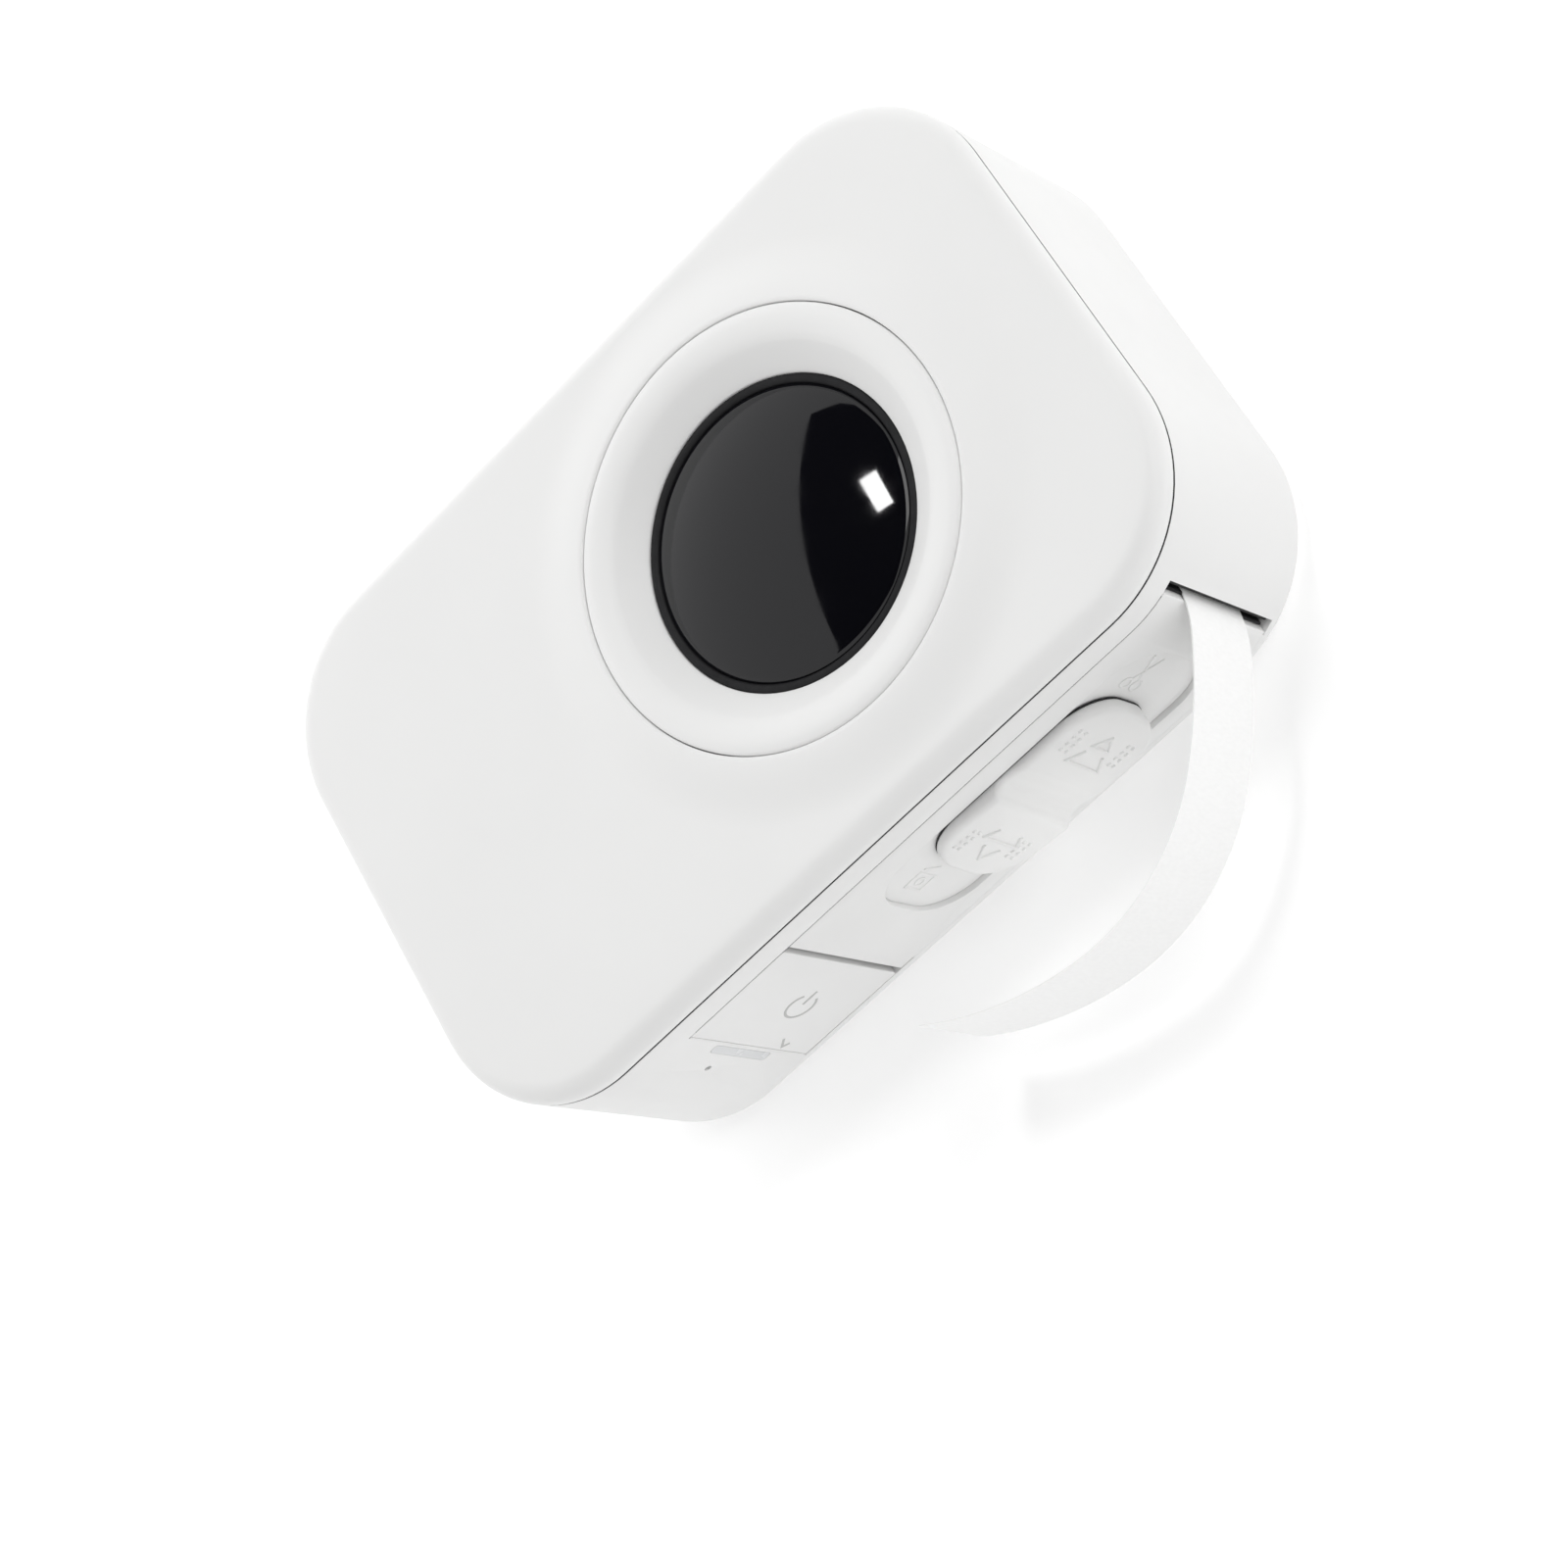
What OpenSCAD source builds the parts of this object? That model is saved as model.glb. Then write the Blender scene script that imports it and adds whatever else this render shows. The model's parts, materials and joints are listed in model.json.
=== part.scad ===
// Pocket thermal label printer, lying on its flat back with the hinged cover up.
// Z = 0 is the back face. +Y points to the label exit and +X to the side with the controls.
// The label roll lies flat under the round window. The slide knob cuts the label when it is
// pushed towards the exit, and frees the cover when it is pulled the other way.

/* [Case] */
// Width of the case, from the hinge side to the control side
case_w = 82; // [80:0.5:86]
// Length of the case, from the charging end to the exit end
case_l = 127; // [126:0.5:132]
// Depth of the back shell, from the back face to the parting line
shell_d = 34.7; // [34.5:0.1:36]
// Radius of the four corners, seen from the front
corner_r = 20.2; // [19:0.1:21]
// Rounding between the back face and the sides
back_round = 4.3; // [3.5:0.1:4.3]
// Wall thickness of the mouldings
wall = 1.8; // [1.6:0.1:2]

/* [Cover] */
// Gap between the back shell and the cover
seam = 0.3; // [0.2:0.1:0.4]
// Height of the cover's flat face above its lower edge
cover_h = 3.2; // [3:0.1:3.6]
// Rounding between the cover's face and its sides
cover_round = 2.8; // [2:0.1:2.9]
// Radius of the line where the window ring meets the cover
ring_r = 29; // [28.5:0.1:29.5]
// Height of that line above the cover's flat face
ring_rise = 1.5; // [1:0.1:2]
// Width of the band in which the cover swells up to the ring
swell_w = 9; // [7:0.5:9]
// Radius of the window lens
lens_r = 19.3; // [18.5:0.1:19.5]
// Height of the lens dome above its rim
lens_dome = 3.8; // [2:0.1:3.8]

/* [Label] */
// Width of the label tape
tape_w = 15; // [12:0.5:15]
// Thickness of the tape and its liner
tape_t = 0.2; // [0.1:0.05:0.2]
// Outer radius of the label roll
roll_r = 22.5; // [15:0.5:22.5]
// Radius of the hole in the roll's core
core_r = 6; // [5:0.5:6]
// Height of the middle of the tape above the back face
tape_z = 17.7; // [17.5:0.1:18]

/* [Drive] */
// Gear module
gear_m = 0.5; // [0.5]
// Teeth on the platen gear
platen_teeth = 20; // [20]
// Teeth on the idler gear
idler_teeth = 36; // [36]
// Teeth on the motor pinion
pinion_teeth = 12; // [12]
// Radius of the rubber platen
platen_r = 4.5; // [4:0.1:4.5]

/* [Controls] */
// Length of the slide knob
knob_l = 31; // [29:0.1:31]
// Width of the slide knob
knob_w = 16.2; // [14:0.1:16.4]
// Height of the knob's crest above the side of the case, at the knob's middle
knob_crest = 2.4; // [2:0.1:2.4]
// Depth of the well that the knob slides in
well_depth = 0.8; // [0.6:0.1:0.9]
// Length of the power key
key_l = 17.4; // [16:0.1:17.4]

/* [Hidden] */
$fn = 64;

shell_white = "#f4f4f2";
liner_grey = "#dcdcda";
steel = "#b9bcc0";
smoke = "#17171a";
rubber_black = "#26262a";
board_green = "#2f6b4a";
lead_red = "#b33030";

side_x = case_w / 2;
end_y = case_l / 2;
cover_z = shell_d + seam;
face_z = cover_z + cover_h;
ring_z = face_z + ring_rise;
ring_c = [0, 14.8];
cover_ceiling = face_z - 1.7;
gasket_r = lens_r + 1.25;
lens_rim_z = 36.1;
dome_r = (lens_r * lens_r + lens_dome * lens_dome) / (2 * lens_dome);

// The hinge runs along the left side, just under the parting line.
hinge_x = -side_x;
hinge_z = shell_d - 1.2;
hinge_ys = [-25, 25];
knuckle_r = 1.3;
hinge_pin_r = 0.5;

// Openings in the control side, bottom to top along Y.
key_y = -35.2;
key_top = key_y + key_l;
panel_y = [-16.8, 49.4];
slot_far_y = 51;
panel_z = [4.6, 30.1];
well_y = [-6.5, 42.5];
well_z = [7.3, 25.6];
well_r = 7;
guide_x = side_x - well_depth;
guide_t = 1.1;
travel = [-7, 8];
knob_y = 2.5;
knob_z = 16.4;
knob_tilt = 6;
// Distance from the knob's lower end, and height above the side of the case at the knob's middle:
// the lower pad is a ramp up to the crest, and the upper pad is hollowed just past the crest
knob_profile = [[0, 1.3], [12.7, knob_crest], [13.3, 1.6], [14.3, 1.05], [16, 1.2], [18, 1.75],
    [knob_l, 1.75]];
light_y = -36.7;
light_z = [11.7, 23.6];
reset_at = [-40.4, 20.6];
usb_z = 20.2;

// Inside: the deck carries the roll, the drive and the cutter.
deck_z = 8;
deck_t = 1.5;
deck_top = deck_z + deck_t;
deck_gap = 0.9;
deck_y = -21;
bay_r = 24.8;
bay_t = 1.5;
bay_h = 12;
platen_at = [26.5, 45.3];
idler_at = platen_at + gear_m * (platen_teeth + idler_teeth) / 2 * [cos(155), sin(155)];
motor_at = idler_at + gear_m * (idler_teeth + pinion_teeth) / 2 * [cos(175), sin(175)];
gear_z = [4.8, 7];
shaft_r = 1.5;
motor_r = 8.5;
motor_h = 14.5;
plate_z = [2.6, 4];
nip_y = platen_at[1] + platen_r + 0.25;
blade_x = 33;
blade_t = 0.6;
carriage_x = [35.6, 37.9];
carriage_y = [-4, 24];
spring_l = 15;
pivot_at = [17.5, 55.5];
board_z = 17;
board_t = 1.6;
case_posts = [[-33, -16], [33, -16], [-31, 47], [36.3, 44.5]];
board_posts = [[-33, -50], [33, -50], [-33, -26], [31, -26]];
tape_zs = [tape_z - tape_w / 2, tape_z + tape_w / 2];

// The tape leaves the roll on a tangent and bends into the nip. The printed part curls outside.
web_r = roll_r + 0.5;
web_end = [23, nip_y];
web_d = norm(web_end - ring_c);
web_a = atan2(web_end[1] - ring_c[1], web_end[0] - ring_c[0]) + acos(web_r / web_d);
web_start = ring_c + web_r * [cos(web_a), sin(web_a)];
web_turn = web_a - 90;
web_straight = norm(web_end - web_start) - 3;
label_start = [34.5, nip_y + 0.1];
label_arcs = [[10, -33], [16, -14.5], [28, -50.5], [23.5, -27]];

// ---- Shared shapes ----

module box(low, high) translate(low) cube(high - low);

module rod(at, r, z) translate([at[0], at[1], z[0]]) cylinder(r = r, h = z[1] - z[0]);

module tube(at, r_out, r_in, z) difference() {
    rod(at, r_out, z);
    rod(at, r_in, [z[0] - 1, z[1] + 1]);
}

// Rectangle with round corners, centred
module round_rect(w, l, r) {
    square([w - 2 * r, l], center = true);
    square([w, l - 2 * r], center = true);
    for (x = [-1, 1], y = [-1, 1])
        translate([x * (w / 2 - r), y * (l / 2 - r)]) circle(r);
}

module case_outline(inset) round_rect(case_w - 2 * inset, case_l - 2 * inset, corner_r - inset);

module case_plate(inset, z) translate([0, 0, z[0]]) linear_extrude(z[1] - z[0])
    case_outline(inset);

// Round rectangle that faces +X, from corner [y, z] to corner [y, z], between two values of x
module side_pad(low, high, r, x) translate([x[0], (low[0] + high[0]) / 2, (low[1] + high[1]) / 2])
    rotate([90, 0, 90]) linear_extrude(x[1] - x[0])
        round_rect(high[0] - low[0], high[1] - low[1], r);

module tub_section(w, h, r) intersection() {
    union() {
        translate([-w / 2, r]) square([w, h - r]);
        translate([-w / 2 + r, 0]) square([w - 2 * r, h]);
        for (s = [-1, 1]) translate([s * (w / 2 - r), r]) circle(r);
    }
    translate([-w / 2, 0]) square([w, h]);
}

// Solid with the case's outline and a rounded lower edge
module tub(inset, h, r) {
    w = case_w - 2 * inset;
    l = case_l - 2 * inset;
    rc = corner_r - inset;
    for (x = [-1, 1], y = [-1, 1])
        translate([x * (w / 2 - rc), y * (l / 2 - rc), 0]) rotate_extrude() intersection() {
            tub_section(2 * rc, h, r);
            square([rc, h]);
        }
    rotate([90, 0, 0]) linear_extrude(l - 2 * rc, center = true) tub_section(w, h, r);
    rotate([90, 0, 90]) linear_extrude(w - 2 * rc, center = true) tub_section(l, h, r);
}

// Piece of the case's wall on the control side, between [y, z] corners
module side_skin(low, high, inset, t) intersection() {
    difference() {
        case_plate(inset, [low[1], high[1]]);
        case_plate(inset + t, [low[1] - 1, high[1] + 1]);
    }
    box([side_x / 2, low[0], low[1]], [side_x + 1, high[0], high[1]]);
}

// Path of joined arcs: each segment is [length, turn in degrees]
function arc_path(at, heading, segs, step = 1.2) = len(segs) == 0 ? [at] :
    let(l = segs[0][0], turn = segs[0][1], n = ceil(l / step),
        pts = [for (i = [0:n - 1]) arc_point(at, heading, l * i / n, turn * i / n)],
        rest = [for (i = [1:1:len(segs) - 1]) segs[i]])
    concat(pts, arc_path(arc_point(at, heading, l, turn), heading + turn, rest, step));

function arc_point(at, heading, l, turn) = at + (abs(turn) < 0.01 ? l :
    l * sin(turn / 2) / (turn / 2 * PI / 180)) * [cos(heading + turn / 2), sin(heading + turn / 2)];

function side_step(p, i, d) = let(a = p[max(i - 1, 0)], b = p[min(i + 1, len(p) - 1)], t = b - a)
    p[i] + d * [-t[1], t[0]] / norm(t);

// Upright ribbon that follows a path
module ribbon(p, t, z) translate([0, 0, z[0]]) linear_extrude(z[1] - z[0]) polygon(concat(
    [for (i = [0:len(p) - 1]) side_step(p, i, t / 2)],
    [for (i = [len(p) - 1:-1:0]) side_step(p, i, -t / 2)]));

function unit(v) = v / norm(v);

// Tube along a 3D path that nowhere runs along the side vector
module sweep(p, r, sides, side = [0, 0, 1]) {
    last = len(p) - 1;
    pts = [for (i = [0:last]) let(t = unit(p[min(i + 1, last)] - p[max(i - 1, 0)]),
        u = unit(cross(t, side)), v = cross(t, u))
        for (j = [0:sides - 1]) p[i] + r * (cos(360 * j / sides) * u + sin(360 * j / sides) * v)];
    walls = [for (i = [0:last - 1], j = [0:sides - 1]) let(a = i * sides + j,
        b = i * sides + (j + 1) % sides) each [[a, b, b + sides], [a, b + sides, a + sides]]];
    caps = [[for (j = [sides - 1:-1:0]) j], [for (j = [0:sides - 1]) last * sides + j]];
    polyhedron(pts, concat(walls, caps));
}

// Smooth curve through hand-placed points
function spline(p, n = 5) = [for (i = [0:len(p) - 2], j = [0:n - (i == len(p) - 2 ? 0 : 1)])
    let(a = p[max(i - 1, 0)], b = p[i], c = p[i + 1], d = p[min(i + 2, len(p) - 1)], t = j / n)
    0.5 * (2 * b + (c - a) * t + (2 * a - 5 * b + 4 * c - d) * t * t
        + (3 * b - a - 3 * c + d) * t * t * t)];

// Compression spring along +Y
module coil_spring(at, l, r, wire, turns) {
    steps = 12;
    sweep([for (i = [0:steps * turns]) at
        + [r * cos(360 * i / steps), wire + (l - 2 * wire) * i / (steps * turns),
           r * sin(360 * i / steps)]], wire, 6, [0, 1, 0]);
}

// Involute gear, one tooth centred on angle 0
function roll_angle(a) = tan(a) * 180 / PI - a;

function half_tooth(r, pitch_r, n) = 90 / n - 0.9 / pitch_r + roll_angle(20)
    - roll_angle(acos(min(1, pitch_r * cos(20) / r)));

module gear(at, n, turn, z, bore) {
    pitch_r = gear_m * n / 2;
    root_r = pitch_r - 1.2 * gear_m;
    tip_r = pitch_r + 0.9 * gear_m;
    start_r = max(root_r + 0.05, pitch_r * cos(20));
    rs = [for (i = [0:3]) start_r + (tip_r - start_r) * i / 3];
    flank = [for (r = concat([root_r], rs)) [r, half_tooth(max(r, start_r), pitch_r, n)]];
    translate([at[0], at[1], z[0]]) rotate(turn) difference() {
        linear_extrude(z[1] - z[0]) polygon([for (k = [0:n - 1]) for (i = [0:2 * len(flank) - 1])
            let(f = i < len(flank) ? flank[i] : flank[2 * len(flank) - 1 - i],
                a = 360 * k / n + (i < len(flank) ? -f[1] : f[1])) f[0] * [cos(a), sin(a)]]);
        translate([0, 0, -1]) cylinder(r = bore, h = z[1] - z[0] + 2);
    }
}

// Pan-head screw, head up, its head's seat at the given point
module screw(at, z, r, shank, head_r, head_h) {
    rod(at, r, [z - shank, z]);
    difference() {
        rod(at, head_r, [z, z + head_h]);
        for (a = [0, 90]) translate([at[0], at[1], z + head_h]) rotate(a)
            cube([head_r * 1.1, 0.5, head_h], center = true);
    }
}

// ---- Case ----

module hinge_clearance(y, l) translate([hinge_x, y + l / 2, hinge_z]) rotate([90, 0, 0])
    cylinder(r = knuckle_r + 0.3, h = l);

module hinge_bores() for (y = hinge_ys) translate([hinge_x, y + 9, hinge_z])
    rotate([90, 0, 0]) cylinder(r = hinge_pin_r + 0.05, h = 18);

// One hinge knuckle with the web that joins it to its shell
module knuckle(y, l, web_low, web_high) {
    translate([hinge_x, y + l / 2, hinge_z]) rotate([90, 0, 0]) cylinder(r = knuckle_r, h = l);
    box([web_low[0], y - l / 2, web_low[1]], [web_high[0], y + l / 2, web_high[1]]);
}

module case_knuckles() for (y = hinge_ys, s = [-1, 1]) knuckle(y + s * 6.2, 4,
    [hinge_x - 0.6, hinge_z - 1], [hinge_x + wall, hinge_z + 0.5]);

module shell_openings() {
    box([side_x - 5, key_y - 0.3, panel_z[0] - 0.2], [side_x + 1, slot_far_y, panel_z[1] + 0.2]);
    side_pad([light_y - 0.8, light_z[0] - 0.1], [light_y + 0.8, light_z[1] + 0.1], 0.5,
        [side_x - 4, side_x + 1]);
    translate([side_x - 4, reset_at[0], reset_at[1]]) rotate([0, 90, 0]) cylinder(r = 0.5, h = 6);
    translate([0, -end_y + 2.5, usb_z]) rotate([90, 0, 0]) linear_extrude(4)
        round_rect(9.6, 3.9, 1.9);
}

module back_shell() color(shell_white) {
    difference() {
        tub(0, shell_d, back_round);
        translate([0, 0, wall]) tub(wall, shell_d, back_round - wall);
        shell_openings();
        for (y = hinge_ys) hinge_clearance(y, 8.8);
        hinge_bores();
    }
    for (p = case_posts) tube(p, 2.8, 1, [wall - 0.2, deck_z]);
    for (p = board_posts) tube(p, 2.6, 0.9, [wall - 0.2, board_z]);
    difference() {
        case_knuckles();
        hinge_bores();
    }
}

module side_panel() color(shell_white) difference() {
    side_skin([panel_y[0], panel_z[0]], [panel_y[1], panel_z[1]], 0, wall);
    side_pad([well_y[0], well_z[0]], [well_y[1], well_z[1]], well_r, [side_x - 4, side_x + 1]);
}

module slider_guide() color(shell_white) difference() {
    union() {
        side_pad([well_y[0] + 0.05, well_z[0] + 0.05], [well_y[1] - 0.05, well_z[1] - 0.05],
            well_r - 0.05, [guide_x - guide_t, guide_x]);
        side_pad([well_y[0] - 2, well_z[0] - 2], [well_y[1] + 0.8, well_z[1] + 2],
            well_r + 1, [side_x - wall - 0.6, side_x - wall]);
    }
    side_pad([knob_y + 10 + travel[0] - 0.4, knob_z - 4.4],
        [knob_y + 16.4 + travel[1] + 0.4, knob_z + 4.4], 1, [side_x - 5, side_x + 1]);
}

// ---- Slider, cutter and latch ----

// The knob leans outwards towards the back of the case.
module slide_knob() color(shell_white) {
    x0 = guide_x + 0.2;
    intersection() {
        translate([side_x, knob_y, knob_z]) rotate([0, -knob_tilt, 0])
            linear_extrude(knob_w + 4, center = true)
            polygon(concat([[-3, 0]], [for (p = knob_profile) [p[1], p[0]]], [[-3, knob_l]]));
        side_pad([knob_y, knob_z - knob_w / 2], [knob_y + knob_l, knob_z + knob_w / 2],
            6.5, [x0, side_x + knob_crest + 2]);
    }
    box([carriage_x[1], knob_y + 10, knob_z - 4], [x0 + 0.5, knob_y + 16.4, knob_z + 4]);
}

module slider_carriage() color(liner_grey) {
    difference() {
        box([carriage_x[0], carriage_y[0], deck_top + 0.4],
            [carriage_x[1], carriage_y[1], tape_zs[1] - 0.6]);
        translate([carriage_x[0] - 0.2, 4, 11]) cube([1, 3, 12]);
    }
    box([33.6, 5, 21], [carriage_x[0], 24, tape_zs[1] - 0.6]);
    box([33.6, 5, 24], [35, 24, 30]);
    box([blade_x + blade_t / 2, 22, 12], [34.4, 38, 23]);
    box([34.3, 22, 12], [carriage_x[0], 24, 23]);
}

module cutter_blade() color(steel) translate([blade_x - blade_t / 2, 0, 0]) rotate([90, 0, 90])
    linear_extrude(blade_t) polygon([[29, 9.8], [42.8, 9.8], [47.2, 26.4], [29, 26.4]]);

module anvil_blade() color(steel) {
    box([blade_x + blade_t / 2 + 0.1, nip_y + 0.5, deck_top], [34.2, nip_y + 4, 26.6]);
    box([blade_x + blade_t / 2 + 0.1, nip_y + 0.5, deck_top], [35.4, nip_y + 4, deck_top + 0.5]);
}

module cutter_spring() color(steel)
    coil_spring([36.7, carriage_y[1], tape_z], spring_l, 1.2, 0.25, 6);

module latch_spring() color(steel)
    coil_spring([36.7, carriage_y[0] - spring_l, tape_z], spring_l, 1.2, 0.25, 6);

// ---- Power key, light and reset ----

module power_key() color(shell_white) {
    side_skin([key_y, panel_z[0]], [key_top, panel_z[1]], 0, wall);
    box([side_x - wall - 0.5, key_y + 7, 13], [side_x - wall, key_y + 10, 18]);
}

module power_switch() color(smoke) {
    box([34.2, -29.6, board_z - 3.6], [37.4, -24, board_z]);
    translate([37.3, -26.8, board_z - 1.6]) rotate([0, 90, 0]) cylinder(r = 1, h = 0.9);
}

module status_light() color("#dfe6ea") {
    side_pad([light_y - 0.75, light_z[0]], [light_y + 0.75, light_z[1]], 0.45,
        [side_x - 3.5, side_x]);
}

module reset_switch() color(smoke) {
    top = board_z + board_t;
    box([34.6, reset_at[0] - 2, top], [36.8, reset_at[0] + 2, top + 3.6]);
    translate([36.7, reset_at[0], reset_at[1]]) rotate([0, 90, 0]) cylinder(r = 0.45, h = 1);
}

// ---- Cover and window ----

function swell(r) = face_z + ring_rise * (1 + cos(180 * (r - ring_r) / swell_w)) / 2;

module cover_body() {
    translate([0, 0, face_z]) mirror([0, 0, 1]) tub(0, cover_h, cover_round);
    translate([ring_c[0], ring_c[1], 0]) rotate_extrude() polygon(concat([[0, face_z - 1]],
        [[0, ring_z]], [for (i = [0:9]) let(r = ring_r + swell_w * i / 9) [r, swell(r)]],
        [[ring_r + swell_w, face_z - 1]]));
}

module front_cover() color(shell_white) {
    difference() {
        cover_body();
        translate([0, 0, cover_ceiling]) mirror([0, 0, 1]) tub(wall, 8, 0.5);
        rod(ring_c, ring_r + 0.05, [cover_ceiling - 1, ring_z + 1]);
    }
    difference() {
        for (y = hinge_ys) knuckle(y, 8, [hinge_x - 0.3, hinge_z], [hinge_x + 0.7, cover_z + 0.4]);
        hinge_bores();
    }
}

// Frame inside the cover, with the latch hook
module cover_liner() color(liner_grey) {
    difference() {
        case_plate(wall + 0.6, [shell_d - 1.4, cover_ceiling]);
        case_plate(wall + 2, [shell_d - 2, cover_ceiling - 1.2]);
        rod(ring_c, ring_r + 2.4, [shell_d - 3, face_z]);
    }
    box([36.3, 17, 27], [37.6, 23, cover_ceiling - 1]);
    box([35.4, 17, 27], [36.4, 23, 28.4]);
}

module window_ring() color(shell_white) translate([ring_c[0], ring_c[1], 0]) rotate_extrude()
    polygon([[gasket_r, 35.3], [ring_r - 3, 35.2], [ring_r + 2, 35.2], [ring_r + 2, cover_ceiling],
        [ring_r, cover_ceiling], [ring_r, ring_z - 0.1], [ring_r - 0.5, ring_z + 0.2],
        [ring_r - 1.4, ring_z + 0.3], [ring_r - 3, ring_z + 0.15], [ring_r - 4.4, ring_z - 0.25],
        [ring_r - 5.4, ring_z - 0.75], [gasket_r, 36.5]]);

module window_gasket() color(rubber_black)
    tube(ring_c, gasket_r, lens_r, [35.3, 36.4]);

module window_lens() color(smoke) translate([ring_c[0], ring_c[1], lens_rim_z]) intersection() {
    difference() {
        translate([0, 0, lens_dome - dome_r]) sphere(r = dome_r, $fn = 128);
        translate([0, 0, lens_dome - dome_r]) sphere(r = dome_r - 1.6, $fn = 128);
    }
    translate([0, 0, -1.5]) cylinder(r = lens_r, h = lens_dome + 2);
}

module hinge_pins() color(steel) for (y = hinge_ys)
    translate([hinge_x, y + 8.4, hinge_z]) rotate([90, 0, 0])
        cylinder(r = hinge_pin_r, h = 16.8);

// ---- Deck and label roll ----

module deck_plate() intersection() {
    case_plate(wall + deck_gap, [deck_z, deck_top]);
    box([-side_x, deck_y, 0], [side_x, end_y, shell_d]);
}

module bay_wall() difference() {
    tube(ring_c, bay_r + bay_t, bay_r, [deck_top - 0.2, deck_top + bay_h]);
    translate([ring_c[0], ring_c[1], 0]) linear_extrude(shell_d)
        polygon([[0, 0], 60 * [cos(64), sin(64)], 60 * [cos(122), sin(122)]]);
}

module inner_deck() color(liner_grey) {
    difference() {
        deck_plate();
        for (p = case_posts) rod(p, 1.3, [deck_z - 1, deck_top + 1]);
        rod(platen_at, 3, [deck_z - 1, deck_top + 1]);
        rod(motor_at, 4.1, [deck_z - 1, deck_top + 1]);
        rod(idler_at, 1.5, [deck_z - 1, deck_top + 1]);
        rod(pivot_at, 1.2, [deck_z - 1, deck_top + 1]);
    }
    bay_wall();
    for (y = [carriage_y[1] + spring_l, carriage_y[0] - spring_l - 1.5])
        box([35.2, y, deck_top - 0.2], [38.2, y + 1.5, 21]);
    box([22, 57.6, deck_top - 0.2], [28, 58.8, 21]);
}

module roll_spindle() color(liner_grey) {
    rod(ring_c, core_r - 0.08, [deck_top, tape_zs[1]]);
    rod(ring_c, core_r + 2, [deck_top, tape_zs[0] - 0.2]);
}

module roll_core() color("#c9b48f") tube(ring_c, core_r + 1.2, core_r, tape_zs);

module label_roll() color("white") tube(ring_c, roll_r, core_r + 1.2, tape_zs);

module label_web() color("white") ribbon(arc_path(web_start, web_turn,
    [[web_straight, 0], [6, -web_turn], [blade_x - blade_t / 2 - 0.3 - web_end[0] - 3, 0]], 2),
    tape_t, tape_zs);

module printed_label() color("white")
    ribbon(arc_path(label_start, 2.8, label_arcs), tape_t, tape_zs);

// ---- Drive ----

module platen_roller() color(rubber_black)
    tube(platen_at, platen_r, shaft_r, [tape_zs[0] - 0.3, tape_zs[1] + 0.3]);

module platen_shaft() color(steel) rod(platen_at, shaft_r, [plate_z[0], tape_zs[1] + 1]);

module platen_bushes() color("#b08d4a") {
    tube(platen_at, 3, shaft_r + 0.05, [deck_z, deck_top]);
    tube(platen_at, 2.4, shaft_r + 0.05, plate_z);
}

module platen_gear() color("#e8e6da")
    gear(platen_at, platen_teeth, 155 - 180 / platen_teeth, gear_z, shaft_r);

module idler_gear() color("#e8e6da") gear(idler_at, idler_teeth, 155 + 180, gear_z, 1.55);

module idler_post() color(steel) rod(idler_at, 1.5, [plate_z[0], deck_top]);

module motor_pinion() color("#c8a860")
    gear(motor_at, pinion_teeth, 175 + 180 + 180 / pinion_teeth, gear_z, 0.75);

module gear_plate() color(steel) difference() {
    translate([0, 0, plate_z[0]]) linear_extrude(plate_z[1] - plate_z[0]) hull() {
        for (p = [[1, 44], [30, 42], [30, 52], [20, 57], [1, 58]]) translate(p) circle(1.5);
    }
    rod(platen_at, 2.4, [plate_z[0] - 1, plate_z[1] + 1]);
    rod(idler_at, 1.5, [plate_z[0] - 1, plate_z[1] + 1]);
}

module plate_spacers() color(steel) for (p = [[1.5, 43.5], [30.6, 51.5], [24, 55.3]])
    rod(p, 1.2, [plate_z[1], deck_z]);

module drive_motor() color("#8f9296") {
    tube(motor_at, motor_r, 1.2, [deck_top, deck_top + motor_h]);
    tube(motor_at, 4, 1.2, [deck_z, deck_top]);
    difference() {
        for (s = [-1, 1]) box([motor_at[0] + s * 10 - 2.5, motor_at[1] - 3, deck_top],
            [motor_at[0] + s * 10 + 2.5, motor_at[1] + 3, deck_top + 0.8]);
        for (s = [-1, 1]) rod(motor_at + [s * 10.5, 0], 1, [deck_z, deck_top + 2]);
        rod(motor_at, 7, [deck_z, deck_top + 2]);
    }
}

module motor_shaft() color(steel) rod(motor_at, 0.75, [gear_z[0], deck_top + motor_h - 1]);

module motor_screws() color(steel) for (s = [-1, 1])
    screw(motor_at + [s * 10.5, 0], deck_top + 0.8, 0.95, 0.8, 1.8, 1);

// ---- Print head ----

module print_head() color("#5b4a3c")
    box([22, nip_y + 0.35, tape_zs[0] - 0.3], [31, nip_y + 1.1, tape_zs[1] + 0.3]);

module head_heatsink() color(steel)
    box([21, nip_y + 1.1, tape_zs[0] - 0.3], [31.2, nip_y + 2.6, tape_zs[1] + 0.5]);

module head_lever() color(liner_grey) difference() {
    union() {
        box([pivot_at[0], nip_y + 2.6, deck_top + 0.6], [31.2, nip_y + 3.8, 25.6]);
        rod(pivot_at, 2.6, [deck_top + 0.6, 25.6]);
    }
    rod(pivot_at, 1.25, [deck_z, shell_d]);
}

module head_pivot_pin() color(steel) rod(pivot_at, 1.2, [deck_z, 27.2]);

module head_spring() color(steel)
    coil_spring([25, nip_y + 3.8, tape_z], 57.6 - nip_y - 3.8, 1.8, 0.25, 5);

module gap_sensor() color(smoke) translate([10, 41.5, 0]) rotate(web_turn) {
    translate([-3, -1.5, deck_top]) cube([6, 2.4, 11]);
    translate([-4.5, -2.5, deck_top]) cube([9, 1, 13]);
}

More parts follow.
